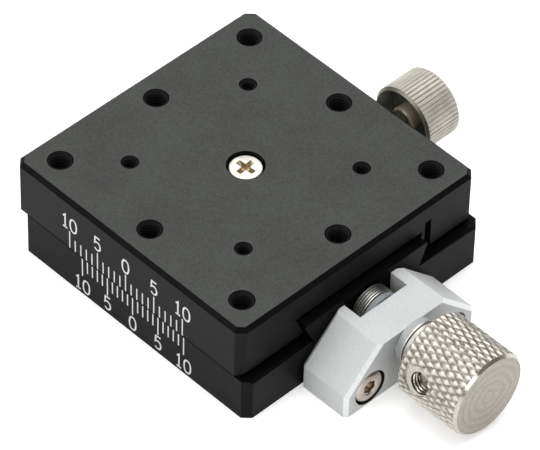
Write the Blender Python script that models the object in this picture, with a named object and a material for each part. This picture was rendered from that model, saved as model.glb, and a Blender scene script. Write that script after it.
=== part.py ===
"""Manual linear stage: a square table on a dovetail rail, driven by a feed screw and held by a side clamp.

Metres, +Z up. The origin is the middle of the base's underside. +X is the direction of travel, towards
the feed knob, -Y is the side that carries the scale, and +Y is the side of the clamp knob. The table
stands where the photograph shows it, a little off the middle of its travel.
"""

import math

import bmesh
import bpy

for old in list(bpy.data.objects):
    bpy.data.objects.remove(old)

# Clearances and common values
seat_gap = 0.00005
running_gap = 0.00008
overrun = 0.002
weld_distance = 0.0000001
round_steps = 36
hole_steps = 24
sharp_angle = math.radians(30)

# Stage
plate_side = 0.040
stage_height = 0.0144
table_offset = -0.00125

# Base
base_height = 0.0063
base_corner_chamfer = 0.0010
base_end_chamfer = 0.0003

# Dovetail rail on the base, whose height is a share of the table's
rail_share = 0.4277
rail_top_width = 0.0210
rail_angle = math.radians(66)
rail_edge_chamfer = 0.0003
flank_gap = 0.0001

# Channel in the rail for the feed nut
channel_width = 0.0061
channel_clearance = 0.0019
channel_corner = 0.0006
channel_wall_gap = 0.0001

# Travel either side of the middle, and what stops the nut at its ends
travel = 0.0100
stop_gap = 0.0003
stop_pin_diameter = 0.0016
stop_pin_clearance = 0.0007
stop_pin_root_share = 0.58
stop_pin_chamfer = 0.0002

# Round hole that leads the feed screw through the wall at the channel's end
screw_passage_gap = 0.0003

# Counterbored mounting holes in the base
mounting_margin = 0.0045
mounting_hole_diameter = 0.0034
mounting_head_diameter = 0.0060
mounting_head_depth = 0.0032

# Table
split_gap = 0.00015
table_corner_chamfer = 0.00105
table_edge_chamfer = 0.00055
table_end_chamfer = 0.0006
groove_roof_gap = 0.0006
relief_margin = 0.00075
relief_lip = 0.0008
relief_roof_drop = 0.0003
tongue_web = 0.0006
slit_width = 0.00105
slit_web_share = 0.527

# Tapped holes in the table
tapped_margin = 0.0040
tapped_diameter = 0.0028
tapped_mouth_diameter = 0.0033
small_pitch = 0.020
small_tapped_diameter = 0.0018
small_mouth_diameter = 0.0023

# Feed screw, its nut and its collar
feed_height = 0.0063
screw_diameter = 0.0040
screw_tail_gap = 0.0006
screw_tail_chamfer = 0.0004
journal_diameter = 0.0038
nut_length = 0.0100
nut_side_gap = 0.00025
nut_floor_gap = 0.0004
nut_corner_chamfer = 0.0003
collar_diameter = 0.0061
collar_length = 0.00165
collar_chamfer = 0.00012

# Screw that holds the nut to the table
nut_screw_diameter = 0.0025
nut_screw_head_diameter = 0.00415
nut_screw_head_height = 0.0016
nut_screw_head_edge = 0.00015
nut_screw_sink = 0.00035
nut_screw_recess_diameter = 0.0049
nut_screw_tip_gap = 0.0003

# Bracket
bracket_thickness = 0.00775
bracket_width = 0.0220
bracket_height = 0.00895
bracket_top_width = 0.01125
bracket_shoulder_height = 0.00355
bracket_chamfer = 0.0005
notch_width = 0.0079
notch_depth = 0.00275

# Screws that hold the bracket
bracket_screw_pitch = 0.0139
bracket_screw_height = 0.00265
bracket_screw_diameter = 0.0025
bracket_screw_hole_diameter = 0.0028
bracket_screw_reach = 0.0040
bracket_screw_head_diameter = 0.00435
bracket_screw_head_height = 0.0015
bracket_screw_head_edge = 0.0002
bracket_screw_sink = 0.00018
bracket_screw_recess_diameter = 0.00495

# Flanged bushes in the bracket's bore, and the washer under the knob
bush_sleeve_diameter = 0.0050
bush_sleeve_length = 0.0018
bush_bore_gap = 0.0001
inner_flange_diameter = 0.0060
inner_flange_thickness = 0.00078
outer_flange_diameter = 0.0061
outer_flange_thickness = 0.00095
steel_washer_diameter = 0.0068
steel_washer_thickness = 0.00035

# Feed knob
knob_diameter = 0.01175
knob_length = 0.00955
knob_end_chamfer = 0.00032
knob_rear_chamfer = 0.0003
knob_boss_diameter = 0.0062
knob_boss_length = 0.0018
knob_bore_depth = 0.0080
knob_shaft_end_gap = 0.0002

# Set screw in the feed knob
knob_set_screw_place = 0.00325
knob_set_screw_angle = math.radians(78)
knob_set_screw_diameter = 0.0030
knob_set_screw_length = 0.0025
knob_set_screw_chamfer = 0.0003
knob_flat_diameter = 0.0044
knob_flat_depth = 0.00045

# Clamp screw and its plug
clamp_place = 0.00375
clamp_rise = 0.00245
clamp_thread_diameter = 0.0030
clamp_hole_gap = 0.00012
clamp_mouth_chamfer = 0.0003
plug_diameter = 0.0024
plug_length = 0.0027
plug_press_gap = 0.0002
plug_chamfer = 0.0002

# Clamp knob
clamp_knob_diameter = 0.00945
clamp_knob_length = 0.0058
clamp_knob_stand_off = 0.00345
clamp_knob_chamfer = 0.00038
dish_diameter = 0.0084
dish_depth = 0.0031
hub_diameter = 0.0044
hub_length = 0.0010
clamp_bore_depth = 0.0015
flute_count = 51
flute_radius = 0.00016

# Screws that set the play of the slide
gib_screw_spread = 0.0200
gib_screw_length = 0.0050
gib_screw_chamfer = 0.0003
gib_screw_press_gap = 0.0002


def principled(name, colour, roughness, metallic):
    """A plain material with the piece's own colour."""
    material = bpy.data.materials.new(name)
    material.use_nodes = True
    shader = material.node_tree.nodes["Principled BSDF"]
    shader.inputs["Base Color"].default_value = (*colour, 1)
    shader.inputs["Roughness"].default_value = roughness
    shader.inputs["Metallic"].default_value = metallic
    return material


black_anodised = principled("black_anodised", (0.045, 0.048, 0.047), 0.45, 0.4)
clear_anodised = principled("clear_anodised", (0.60, 0.61, 0.60), 0.42, 0.85)
bright_steel = principled("bright_steel", (0.66, 0.62, 0.57), 0.28, 1.0)
grooved_steel = principled("grooved_steel", (0.40, 0.38, 0.34), 0.35, 1.0)
blue_grey_resin = principled("blue_grey_resin", (0.33, 0.37, 0.42), 0.5, 0.0)
turned_brass = principled("turned_brass", (0.72, 0.55, 0.28), 0.35, 1.0)


def empty(name, location, parent=None):
    """A frame that carries the pieces of one moving group."""
    carrier = bpy.data.objects.new(name, None)
    carrier.location = location
    carrier.parent = parent
    bpy.context.collection.objects.link(carrier)
    return carrier


def finished(name, shape, material, location=(0, 0, 0), rotation=(0, 0, 0), parent=None):
    """The bmesh as an object, shaded smooth but for its sharp edges."""
    bmesh.ops.recalc_face_normals(shape, faces=shape.faces)
    mesh = bpy.data.meshes.new(name)
    shape.to_mesh(mesh)
    shape.free()
    mesh.shade_smooth()
    mesh.set_sharp_from_angle(angle=sharp_angle)
    if material:
        mesh.materials.append(material)
    piece = bpy.data.objects.new(name, mesh)
    piece.location = location
    piece.rotation_euler = rotation
    piece.parent = parent
    bpy.context.collection.objects.link(piece)
    return piece


def cutter(name, shape, location=(0, 0, 0), rotation=(0, 0, 0), parent=None):
    """A hidden solid that only cuts."""
    tool = finished(name, shape, None, location, rotation, parent)
    tool.hide_render = True
    tool.display_type = "WIRE"
    return tool


def cut(piece, *tools):
    """Takes each tool's volume out of the piece."""
    for tool in tools:
        step = piece.modifiers.new("cut_" + tool.name, "BOOLEAN")
        step.operation = "DIFFERENCE"
        step.solver = "EXACT"
        step.object = tool


def prism(outline, start, end):
    """The outline of (y, z) points drawn out along X."""
    shape = bmesh.new()
    face = shape.faces.new([shape.verts.new((start, y, z)) for y, z in outline])
    grown = bmesh.ops.extrude_face_region(shape, geom=[face])["geom"]
    moved = [item for item in grown if isinstance(item, bmesh.types.BMVert)]
    bmesh.ops.translate(shape, verts=moved, vec=(end - start, 0, 0))
    return shape


def turned(profile, steps=round_steps, places=((0, 0, 0),)):
    """The profile of (radius, height) points spun about Z, with a copy at each place.

    A profile that starts off the axis is closed into a ring.
    """
    shape = bmesh.new()
    points = [shape.verts.new((radius, 0, height)) for radius, height in profile]
    edges = [shape.edges.new(pair) for pair in zip(points, points[1:])]
    if profile[0][0] > 0:
        edges.append(shape.edges.new((points[-1], points[0])))
    bmesh.ops.spin(
        shape, geom=points + edges, axis=(0, 0, 1), cent=(0, 0, 0),
        angle=math.tau, steps=steps, use_merge=True,
    )
    bmesh.ops.remove_doubles(shape, verts=shape.verts, dist=weld_distance)
    original = shape.verts[:] + shape.edges[:] + shape.faces[:]
    for place in places[1:]:
        copied = bmesh.ops.duplicate(shape, geom=original)["geom"]
        moved = [item for item in copied if isinstance(item, bmesh.types.BMVert)]
        bmesh.ops.translate(shape, verts=moved, vec=[b - a for a, b in zip(places[0], place)])
    first = [item for item in original if isinstance(item, bmesh.types.BMVert)]
    bmesh.ops.translate(shape, verts=first, vec=places[0])
    if len(places) > 1:
        others = [vert for vert in shape.verts if vert not in set(first)]
        bmesh.ops.translate(shape, verts=others, vec=places[0])
    return shape


def near(value, target):
    """Whether two coordinates are the same place."""
    return abs(value - target) < seat_gap


def chamfer(shape, width, chosen):
    """Bevels each edge whose two ends pass the test."""
    edges = [edge for edge in shape.edges if chosen(edge.verts[0].co, edge.verts[1].co)]
    bmesh.ops.bevel(shape, geom=edges, offset=width, segments=1, profile=0.5, affect="EDGES")


def tapped_profile(bore, mouth, depth):
    """A hole that runs down from a countersunk mouth at height zero."""
    lip = (mouth - bore) / 2
    return [
        (0, overrun),
        (mouth / 2, overrun),
        (mouth / 2, 0),
        (bore / 2, -lip),
        (bore / 2, -depth),
        (0, -depth),
    ]


# Heights that the two plates share
table_height = stage_height - base_height - split_gap
rail_height = table_height * rail_share
rail_top = base_height + rail_height
table_web = stage_height - rail_top - groove_roof_gap
clamp_drop = table_height - clamp_rise

# Frames of the moving groups
half_side = plate_side / 2
carriage = empty("carriage", (table_offset, 0, stage_height))
feed_axis = empty("feed_axis", (half_side, 0, feed_height))
clamp_slide = empty("clamp_slide", (clamp_place, half_side, -clamp_drop), carriage)

along_x = (0, math.radians(90), 0)
along_y = (math.radians(-90), 0, 0)

# Dovetail, shared by the base and the table
rail_top_half = rail_top_width / 2
rail_root_half = rail_top_half - rail_height / math.tan(rail_angle)


def flank(height):
    """Half the width of the table's groove at a height over the base's underside."""
    return rail_root_half + (height - base_height) / math.tan(rail_angle) + flank_gap


# Base plate with its rail
base_outline = [
    (-half_side, 0),
    (half_side, 0),
    (half_side, base_height),
    (rail_root_half, base_height),
    (rail_top_half, rail_top),
    (-rail_top_half, rail_top),
    (-rail_root_half, base_height),
    (-half_side, base_height),
]
base_shape = prism(base_outline, -half_side, half_side)
chamfer(
    base_shape, base_corner_chamfer,
    lambda a, b: near(a.x, b.x) and near(a.y, b.y) and near(abs(a.y), half_side),
)
chamfer(
    base_shape, base_end_chamfer,
    lambda a, b: near(a.z, base_height) and near(b.z, base_height)
    and near(abs(a.x), half_side) and near(a.x, b.x),
)
chamfer(
    base_shape, rail_edge_chamfer,
    lambda a, b: near(a.z, rail_top) and near(b.z, rail_top)
    and near(a.y, b.y) and near(abs(a.y), rail_top_half),
)
base_plate = finished("base_plate", base_shape, black_anodised)

channel_half = channel_width / 2
screw_radius = screw_diameter / 2
channel_floor = feed_height - screw_radius - channel_clearance
channel_outline = [
    (-channel_half, rail_top + overrun),
    (-channel_half, channel_floor + channel_corner),
    (-channel_half + channel_corner, channel_floor),
    (channel_half - channel_corner, channel_floor),
    (channel_half, channel_floor + channel_corner),
    (channel_half, rail_top + overrun),
]
channel_end = -travel - nut_length / 2 - stop_gap
stop_pin_radius = stop_pin_diameter / 2
stop_pin_place = (travel + nut_length / 2 + stop_gap + stop_pin_radius, 0, channel_floor)
channel_mouth = stop_pin_place[0] + stop_pin_radius + channel_wall_gap
channel_cutter = cutter("channel_cutter", prism(channel_outline, channel_end, channel_mouth))
passage_radius = screw_radius + screw_passage_gap
passage_profile = [
    (0, -overrun),
    (passage_radius, -overrun),
    (passage_radius, half_side - channel_mouth + overrun),
    (0, half_side - channel_mouth + overrun),
]
passage_cutter = cutter(
    "passage_cutter", turned(passage_profile, round_steps), (channel_mouth, 0, feed_height), along_x,
)

mounting_half = half_side - mounting_margin
mounting_profile = [
    (0, -overrun),
    (mounting_hole_diameter / 2, -overrun),
    (mounting_hole_diameter / 2, base_height - mounting_head_depth),
    (mounting_head_diameter / 2, base_height - mounting_head_depth),
    (mounting_head_diameter / 2, base_height + overrun),
    (0, base_height + overrun),
]
mounting_places = [(x, y, 0) for x in (-mounting_half, mounting_half) for y in (-mounting_half, mounting_half)]
mounting_cutter = cutter("mounting_cutter", turned(mounting_profile, hole_steps, mounting_places))

bracket_screw_side = bracket_screw_pitch / 2
base_screw_hole_depth = bracket_screw_reach + screw_tail_chamfer
base_screw_profile = [
    (0, overrun),
    (bracket_screw_diameter / 2 + running_gap, overrun),
    (bracket_screw_diameter / 2 + running_gap, -base_screw_hole_depth),
    (0, -base_screw_hole_depth),
]
base_screw_cutters = [
    cutter(
        "base_screw_cutter_" + side,
        turned(base_screw_profile, hole_steps),
        (half_side, place, bracket_screw_height),
        along_x,
    )
    for side, place in (("front", -bracket_screw_side), ("back", bracket_screw_side))
]
cut(base_plate, channel_cutter, passage_cutter, mounting_cutter, *base_screw_cutters)

# Pin in the channel's floor that stops the nut at the knob end
stop_pin_height = channel_clearance - stop_pin_clearance
stop_pin_root = channel_floor * stop_pin_root_share
stop_pin_hole_profile = [
    (0, -stop_pin_root - seat_gap),
    (stop_pin_radius + seat_gap, -stop_pin_root - seat_gap),
    (stop_pin_radius + seat_gap, overrun),
    (0, overrun),
]
stop_pin_cutter = cutter("stop_pin_cutter", turned(stop_pin_hole_profile, hole_steps), stop_pin_place)
cut(base_plate, stop_pin_cutter)
stop_pin_profile = [
    (0, -stop_pin_root),
    (stop_pin_radius, -stop_pin_root),
    (stop_pin_radius, stop_pin_height - stop_pin_chamfer),
    (stop_pin_radius - stop_pin_chamfer, stop_pin_height),
    (0, stop_pin_height),
]
finished("stop_pin", turned(stop_pin_profile, hole_steps), bright_steel, stop_pin_place)

# Table plate, cut by the groove and by the slit that frees its gib tongue
table_shape = prism(
    [(-half_side, -table_height), (half_side, -table_height), (half_side, 0), (-half_side, 0)],
    -half_side, half_side,
)
chamfer(
    table_shape, table_corner_chamfer,
    lambda a, b: near(a.x, b.x) and near(a.y, b.y),
)
chamfer(table_shape, table_edge_chamfer, lambda a, b: near(a.z, 0) and near(b.z, 0))
chamfer(
    table_shape, table_end_chamfer,
    lambda a, b: near(a.z, -table_height) and near(b.z, -table_height)
    and near(a.x, b.x) and near(abs(a.x), half_side),
)
table_plate = finished("table_plate", table_shape, black_anodised, parent=carriage)

groove_foot = base_height - overrun
relief_reach = rail_top_half + relief_margin
relief_inner = rail_top_half - relief_lip
groove_outline = [
    (-flank(groove_foot), groove_foot - stage_height),
    (-flank(rail_top), rail_top - stage_height),
    (-relief_reach, rail_top - stage_height),
    (-relief_reach, -table_web - relief_roof_drop),
    (-relief_inner, -table_web),
    (flank(rail_top), -table_web),
    (flank(rail_top), rail_top - stage_height),
    (flank(groove_foot), groove_foot - stage_height),
]
groove_cutter = cutter(
    "groove_cutter",
    prism(groove_outline, -half_side - overrun, half_side + overrun),
    parent=carriage,
)
slit_place = rail_top_half + tongue_web
slit_web = clamp_drop * slit_web_share
slit_outline = [
    (slit_place, -table_height - overrun),
    (slit_place + slit_width, -table_height - overrun),
    (slit_place + slit_width, -slit_web),
    (slit_place, -slit_web),
]
slit_cutter = cutter(
    "slit_cutter",
    prism(slit_outline, -half_side - overrun, half_side + overrun),
    parent=carriage,
)

tapped_half = half_side - tapped_margin
tapped_places = [
    (x, y, 0)
    for x in (-tapped_half, 0, tapped_half)
    for y in (-tapped_half, 0, tapped_half)
    if x or y
]
tapped_cutter = cutter(
    "tapped_cutter",
    turned(
        tapped_profile(tapped_diameter, tapped_mouth_diameter, table_height + overrun),
        hole_steps, tapped_places,
    ),
    parent=carriage,
)
small_half = small_pitch / 2
small_places = [(x, y, 0) for x in (-small_half, small_half) for y in (-small_half, small_half)]
small_cutter = cutter(
    "small_cutter",
    turned(
        tapped_profile(small_tapped_diameter, small_mouth_diameter, table_web + relief_roof_drop),
        hole_steps, small_places,
    ),
    parent=carriage,
)

nut_screw_seat = nut_screw_sink + nut_screw_head_height + seat_gap
nut_screw_hole = [
    (0, overrun),
    (nut_screw_recess_diameter / 2, overrun),
    (nut_screw_recess_diameter / 2, -nut_screw_seat),
    (nut_screw_diameter / 2 + running_gap, -nut_screw_seat),
    (nut_screw_diameter / 2 + running_gap, -table_web - overrun),
    (0, -table_web - overrun),
]
nut_screw_cutter = cutter("nut_screw_cutter", turned(nut_screw_hole, round_steps), parent=carriage)

side_hole_profile = tapped_profile(
    clamp_thread_diameter + 2 * clamp_hole_gap,
    clamp_thread_diameter + 2 * clamp_hole_gap + 2 * clamp_mouth_chamfer,
    half_side - slit_place - slit_width / 2,
)
gib_screw_half = gib_screw_spread / 2
side_hole_cutters = [
    cutter(
        "side_hole_cutter_" + name,
        turned(side_hole_profile, hole_steps),
        (place, half_side, -clamp_drop),
        along_y,
        carriage,
    )
    for name, place in (("left", -gib_screw_half), ("clamp", clamp_place), ("right", gib_screw_half))
]
cut(table_plate, groove_cutter, slit_cutter, tapped_cutter, small_cutter, nut_screw_cutter, *side_hole_cutters)

# Feed nut, hung under the table in the channel
nut_half = channel_half - nut_side_gap
nut_top = -table_web - seat_gap
nut_bottom = channel_floor + nut_floor_gap - stage_height
nut_shape = prism(
    [(-nut_half, nut_bottom), (nut_half, nut_bottom), (nut_half, nut_top), (-nut_half, nut_top)],
    -nut_length / 2, nut_length / 2,
)
chamfer(nut_shape, nut_corner_chamfer, lambda a, b: near(a.x, b.x) and near(a.y, b.y))
chamfer(nut_shape, channel_corner, lambda a, b: near(a.z, nut_bottom) and near(b.z, nut_bottom) and near(a.y, b.y))
feed_nut = finished("feed_nut", nut_shape, turned_brass, parent=carriage)
nut_bore_profile = [
    (0, -nut_length),
    (screw_radius + running_gap, -nut_length),
    (screw_radius + running_gap, nut_length),
    (0, nut_length),
]
nut_bore_cutter = cutter(
    "nut_bore_cutter",
    turned(nut_bore_profile),
    (0, 0, feed_height - stage_height),
    along_x,
    carriage,
)
nut_tap_profile = [
    (0, overrun),
    (nut_screw_diameter / 2 + running_gap, overrun),
    (nut_screw_diameter / 2 + running_gap, feed_height - stage_height - nut_top),
    (0, feed_height - stage_height - nut_top),
]
nut_tap_cutter = cutter(
    "nut_tap_cutter", turned(nut_tap_profile, hole_steps), (0, 0, nut_top), parent=carriage
)
cut(feed_nut, nut_bore_cutter, nut_tap_cutter)

# Screw that holds the nut
nut_screw_head_radius = nut_screw_head_diameter / 2
nut_screw_tip = feed_height + screw_radius + nut_screw_tip_gap - stage_height
nut_screw_profile = [
    (0, -nut_screw_sink),
    (nut_screw_head_radius - nut_screw_head_edge, -nut_screw_sink),
    (nut_screw_head_radius, -nut_screw_sink - nut_screw_head_edge),
    (nut_screw_head_radius, -nut_screw_sink - nut_screw_head_height),
    (nut_screw_diameter / 2, -nut_screw_sink - nut_screw_head_height),
    (nut_screw_diameter / 2, nut_screw_tip),
    (0, nut_screw_tip),
]
finished("nut_screw", turned(nut_screw_profile), bright_steel, parent=carriage)

# Bracket on the end of the base
bracket_start = half_side + seat_gap
bracket_end = bracket_start + bracket_thickness
bracket_half = bracket_width / 2
bracket_top_half = bracket_top_width / 2
bracket_outline = [
    (-bracket_half, 0),
    (bracket_half, 0),
    (bracket_half, bracket_shoulder_height),
    (bracket_top_half, bracket_height),
    (-bracket_top_half, bracket_height),
    (-bracket_half, bracket_shoulder_height),
]
bracket_shape = prism(bracket_outline, bracket_start, bracket_end)


def bracket_rim(a, b):
    """The end edges on the bracket's sides and slopes, without its top and underside."""
    return near(a.x, b.x) and not near(a.z, b.z)


chamfer(bracket_shape, bracket_chamfer, bracket_rim)
bracket = finished("bracket", bracket_shape, clear_anodised)

notch_half = notch_width / 2
arc_steps = round_steps // 2
notch_arc = [math.pi * step / arc_steps for step in range(arc_steps + 1)]
notch_outline = [
    (notch_half * math.cos(angle), feed_height - notch_half * math.sin(angle)) for angle in notch_arc
] + [(-notch_half, bracket_height + overrun), (notch_half, bracket_height + overrun)]
notch_cutter = cutter(
    "notch_cutter", prism(notch_outline, bracket_start - overrun, bracket_start + notch_depth)
)
journal_radius = journal_diameter / 2
bush_sleeve_radius = bush_sleeve_diameter / 2
bracket_bore_profile = [
    (0, 0),
    (bush_sleeve_radius + seat_gap, 0),
    (bush_sleeve_radius + seat_gap, bracket_thickness + overrun),
    (0, bracket_thickness + overrun),
]
bracket_bore_cutter = cutter(
    "bracket_bore_cutter", turned(bracket_bore_profile), (bracket_start, 0, feed_height), along_x
)
bracket_screw_seat = bracket_screw_sink + bracket_screw_head_height + seat_gap
bracket_screw_hole = [
    (0, overrun),
    (bracket_screw_recess_diameter / 2, overrun),
    (bracket_screw_recess_diameter / 2, -bracket_screw_seat),
    (bracket_screw_hole_diameter / 2, -bracket_screw_seat),
    (bracket_screw_hole_diameter / 2, -bracket_thickness - overrun),
    (0, -bracket_thickness - overrun),
]
bracket_screw_radius = bracket_screw_diameter / 2
bracket_head_radius = bracket_screw_head_diameter / 2
bracket_screw_profile = [
    (0, -bracket_screw_sink),
    (bracket_head_radius - bracket_screw_head_edge, -bracket_screw_sink),
    (bracket_head_radius, -bracket_screw_sink - bracket_screw_head_edge),
    (bracket_head_radius, -bracket_screw_sink - bracket_screw_head_height),
    (bracket_screw_radius, -bracket_screw_sink - bracket_screw_head_height),
    (bracket_screw_radius, -bracket_thickness - seat_gap - bracket_screw_reach),
    (0, -bracket_thickness - seat_gap - bracket_screw_reach),
]
bracket_screw_cutters = []
for side, place in (("front", -bracket_screw_side), ("back", bracket_screw_side)):
    seat = (bracket_end, place, bracket_screw_height)
    bracket_screw_cutters.append(
        cutter("bracket_screw_cutter_" + side, turned(bracket_screw_hole), seat, along_x)
    )
    finished("bracket_screw_" + side, turned(bracket_screw_profile), bright_steel, seat, along_x)
cut(bracket, notch_cutter, bracket_bore_cutter, *bracket_screw_cutters)

# Feed screw, from the closed end of the channel to the inside of the knob
notch_wall = bracket_start + notch_depth - half_side
inner_flange_end = notch_wall - seat_gap
inner_flange_start = inner_flange_end - inner_flange_thickness
collar_end = inner_flange_start - running_gap
collar_start = collar_end - collar_length
outer_flange_start = bracket_end - half_side + seat_gap
outer_flange_end = outer_flange_start + outer_flange_thickness
steel_washer_start = outer_flange_end + running_gap
knob_start = steel_washer_start + steel_washer_thickness + seat_gap
screw_tail = channel_end + screw_tail_gap - half_side
shaft_end = knob_start + knob_bore_depth - knob_shaft_end_gap
feed_screw_profile = [
    (0, screw_tail),
    (screw_radius - screw_tail_chamfer, screw_tail),
    (screw_radius, screw_tail + screw_tail_chamfer),
    (screw_radius, collar_end),
    (journal_radius, collar_end),
    (journal_radius, shaft_end),
    (0, shaft_end),
]
finished("feed_screw", turned(feed_screw_profile), bright_steel, rotation=along_x, parent=feed_axis)


def ring(name, outer, inner, start, end, edge, material):
    """A plain ring round the feed screw, with both outer edges broken."""
    profile = [
        (inner, start),
        (outer - edge, start),
        (outer, start + edge),
        (outer, end - edge),
        (outer - edge, end),
        (inner, end),
    ]
    return finished(name, turned(profile), material, rotation=along_x, parent=feed_axis)


def flanged_bush(name, flange_radius, face, seat, sleeve_tip):
    """A bush whose flange lies between face and seat, and whose sleeve runs on to its tip in the bore."""
    bore = journal_radius + bush_bore_gap
    edge = math.copysign(collar_chamfer, seat - face)
    profile = [
        (bore, face),
        (flange_radius - collar_chamfer, face),
        (flange_radius, face + edge),
        (flange_radius, seat),
        (bush_sleeve_radius, seat),
        (bush_sleeve_radius, sleeve_tip),
        (bore, sleeve_tip),
    ]
    return finished(name, turned(profile), blue_grey_resin, (half_side, 0, feed_height), along_x)


ring(
    "thrust_collar", collar_diameter / 2, screw_radius + seat_gap,
    collar_start, collar_end, collar_chamfer, grooved_steel,
)
flanged_bush(
    "inner_bush", inner_flange_diameter / 2,
    inner_flange_start, inner_flange_end, inner_flange_end + bush_sleeve_length,
)
flanged_bush(
    "outer_bush", outer_flange_diameter / 2,
    outer_flange_end, outer_flange_start, outer_flange_start - bush_sleeve_length,
)
ring(
    "steel_washer", steel_washer_diameter / 2, journal_radius + running_gap,
    steel_washer_start, steel_washer_start + steel_washer_thickness, seat_gap, bright_steel,
)

# Feed knob
knob_radius = knob_diameter / 2
knob_body_start = knob_start + knob_boss_length
knob_end = knob_body_start + knob_length
knob_bore = journal_radius + seat_gap
knob_profile = [
    (0, knob_start + knob_bore_depth),
    (knob_bore, knob_start + knob_bore_depth),
    (knob_bore, knob_start),
    (knob_boss_diameter / 2, knob_start),
    (knob_boss_diameter / 2, knob_body_start),
    (knob_radius - knob_rear_chamfer, knob_body_start),
    (knob_radius, knob_body_start + knob_rear_chamfer),
    (knob_radius, knob_end - knob_end_chamfer),
    (knob_radius - knob_end_chamfer, knob_end),
    (0, knob_end),
]
feed_knob = finished(
    "feed_knob", turned(knob_profile, 2 * round_steps), bright_steel, rotation=along_x, parent=feed_axis
)
set_screw_seat = (knob_body_start + knob_set_screw_place, 0, 0)
set_screw_turn = (knob_set_screw_angle, 0, 0)
set_screw_radius = knob_set_screw_diameter / 2
flat_level = knob_radius - knob_flat_depth
set_screw_hole_profile = [
    (0, 0),
    (set_screw_radius + seat_gap, 0),
    (set_screw_radius + seat_gap, flat_level),
    (knob_flat_diameter / 2, flat_level),
    (knob_flat_diameter / 2, knob_radius + overrun),
    (0, knob_radius + overrun),
]
set_screw_cutter = cutter(
    "set_screw_cutter", turned(set_screw_hole_profile), set_screw_seat, set_screw_turn, feed_axis
)
cut(feed_knob, set_screw_cutter)
set_screw_foot = journal_radius + seat_gap


def set_screw_profile(radius, foot, top, edge):
    """A headless screw with both ends chamfered."""
    return [
        (0, foot),
        (radius - edge, foot),
        (radius, foot + edge),
        (radius, top - edge),
        (radius - edge, top),
        (0, top),
    ]


finished(
    "knob_set_screw",
    turned(
        set_screw_profile(
            set_screw_radius, set_screw_foot, set_screw_foot + knob_set_screw_length, knob_set_screw_chamfer
        ),
        hole_steps,
    ),
    bright_steel, set_screw_seat, set_screw_turn, feed_axis,
)

# Clamp plug and screw, measured from the table's side face
tongue_face = slit_place - half_side
plug_foot = tongue_face + plug_press_gap
clamp_screw_foot = plug_foot + plug_length + seat_gap
clamp_hub_start = clamp_knob_stand_off + dish_depth - hub_length
clamp_knob_end = clamp_knob_stand_off + clamp_knob_length
clamp_screw_end = clamp_knob_stand_off + dish_depth + clamp_bore_depth
finished(
    "clamp_plug",
    turned(set_screw_profile(plug_diameter / 2, plug_foot, plug_foot + plug_length, plug_chamfer), hole_steps),
    turned_brass, rotation=along_y, parent=clamp_slide,
)
finished(
    "clamp_screw",
    turned(
        set_screw_profile(
            clamp_thread_diameter / 2, clamp_screw_foot, clamp_screw_end - seat_gap, knob_set_screw_chamfer
        )
    ),
    bright_steel, rotation=along_y, parent=clamp_slide,
)

# Clamp knob, dished towards the table and fluted round its side
clamp_radius = clamp_knob_diameter / 2
dish_radius = dish_diameter / 2
dish_floor = clamp_knob_stand_off + dish_depth
clamp_bore = clamp_thread_diameter / 2 + seat_gap
clamp_knob_profile = [
    (0, clamp_screw_end),
    (clamp_bore, clamp_screw_end),
    (clamp_bore, clamp_hub_start),
    (hub_diameter / 2, clamp_hub_start),
    (hub_diameter / 2, dish_floor),
    (dish_radius, dish_floor),
    (dish_radius, clamp_knob_stand_off),
    (clamp_radius, clamp_knob_stand_off + clamp_knob_chamfer),
    (clamp_radius, clamp_knob_end - clamp_knob_chamfer),
    (clamp_radius - clamp_knob_chamfer, clamp_knob_end),
    (0, clamp_knob_end),
]
clamp_knob = finished(
    "clamp_knob",
    turned(clamp_knob_profile, 2 * flute_count),
    bright_steel, rotation=along_y, parent=clamp_slide,
)
flute_profile = [
    (0, clamp_knob_stand_off - overrun),
    (flute_radius, clamp_knob_stand_off - overrun),
    (flute_radius, clamp_knob_end + overrun),
    (0, clamp_knob_end + overrun),
]
flute_angles = [math.tau * step / flute_count for step in range(flute_count)]
flute_places = [(clamp_radius * math.cos(turn), clamp_radius * math.sin(turn), 0) for turn in flute_angles]
flute_cutter = cutter(
    "flute_cutter", turned(flute_profile, hole_steps // 3, flute_places), (0, 0, 0), along_y, clamp_slide
)
cut(clamp_knob, flute_cutter)

# Set screws that press the gib tongue to take up play
gib_foot = tongue_face + gib_screw_press_gap
for side, place in (("left", -gib_screw_half), ("right", gib_screw_half)):
    finished(
        "gib_screw_" + side,
        turned(
            set_screw_profile(
                clamp_thread_diameter / 2, gib_foot, gib_foot + gib_screw_length, gib_screw_chamfer
            ),
            hole_steps,
        ),
        bright_steel, (place, half_side, -clamp_drop), along_y, carriage,
    )
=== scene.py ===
import math

import bmesh
import bpy
from mathutils import Euler, Matrix, Vector


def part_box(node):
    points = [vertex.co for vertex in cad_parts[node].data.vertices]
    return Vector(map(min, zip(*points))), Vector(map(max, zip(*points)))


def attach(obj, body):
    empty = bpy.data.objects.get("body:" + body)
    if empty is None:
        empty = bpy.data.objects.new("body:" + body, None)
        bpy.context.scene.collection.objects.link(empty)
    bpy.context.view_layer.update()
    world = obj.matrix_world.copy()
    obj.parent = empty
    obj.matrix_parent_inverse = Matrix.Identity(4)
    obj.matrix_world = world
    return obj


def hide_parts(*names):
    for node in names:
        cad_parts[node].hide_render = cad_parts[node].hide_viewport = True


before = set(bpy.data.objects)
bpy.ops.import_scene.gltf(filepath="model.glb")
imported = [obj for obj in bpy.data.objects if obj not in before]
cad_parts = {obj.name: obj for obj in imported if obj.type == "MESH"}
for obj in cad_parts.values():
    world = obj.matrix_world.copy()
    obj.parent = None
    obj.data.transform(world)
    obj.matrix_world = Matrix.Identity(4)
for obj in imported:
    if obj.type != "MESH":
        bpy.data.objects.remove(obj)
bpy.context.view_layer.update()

# Places and sizes, in metres, in the part's own frame
plate_half = 0.020
stage_top = 0.0144
split_height = 0.0063
table_underside = 0.00645
table_centre = -0.00125
feed_height = 0.0063
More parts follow.
